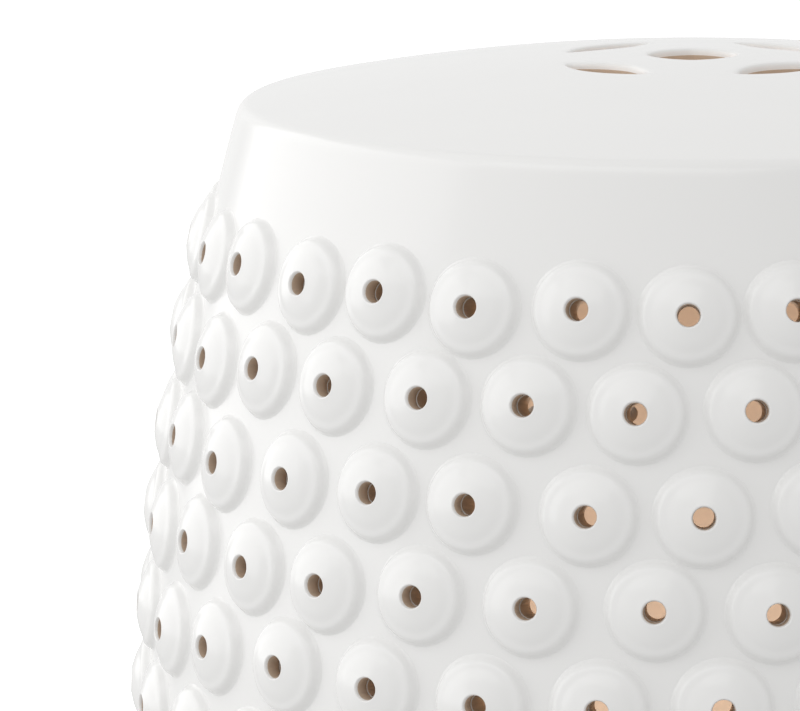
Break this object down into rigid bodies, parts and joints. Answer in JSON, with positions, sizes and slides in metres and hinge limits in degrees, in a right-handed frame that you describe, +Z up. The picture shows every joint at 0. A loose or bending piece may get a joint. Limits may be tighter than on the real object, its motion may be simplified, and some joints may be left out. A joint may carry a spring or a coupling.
{
  "type": "pierced ceramic garden stool",
  "caption": "Barrel-shaped glazed stoneware garden stool with a domed pierced seat and a drum wall covered in rows of pierced domed studs.",
  "frame": {"origin": "centre of the foot ring on the plane that the stool stands on", "axes": "+Z up the stool's axis of revolution; one leaf-shaped slot of the seat lies on each of +X, +Y, -X and -Y"},
  "size_m": [0.3393, 0.3394, 0.4569],
  "materials": {
    "white_glaze": "gloss",
    "bare_stoneware": "matte"
  },
  "bodies": {
    "root": {"seat_top": "white_glaze", "shoulder_band": "white_glaze", "upper_course": "white_glaze", "middle_course": "white_glaze", "lower_course": "white_glaze", "base_band": "white_glaze", "foot_ring": "bare_stoneware", "stud_row_01": "white_glaze", "stud_row_02": "white_glaze", "stud_row_03": "white_glaze", "stud_row_04": "white_glaze", "stud_row_05": "white_glaze", "stud_row_06": "white_glaze", "stud_row_07": "white_glaze", "stud_row_08": "white_glaze", "stud_row_09": "white_glaze", "stud_row_10": "white_glaze", "stud_row_11": "white_glaze", "stud_row_12": "white_glaze", "stud_row_13": "white_glaze", "stud_row_14": "white_glaze"}
  },
  "joints": []
}
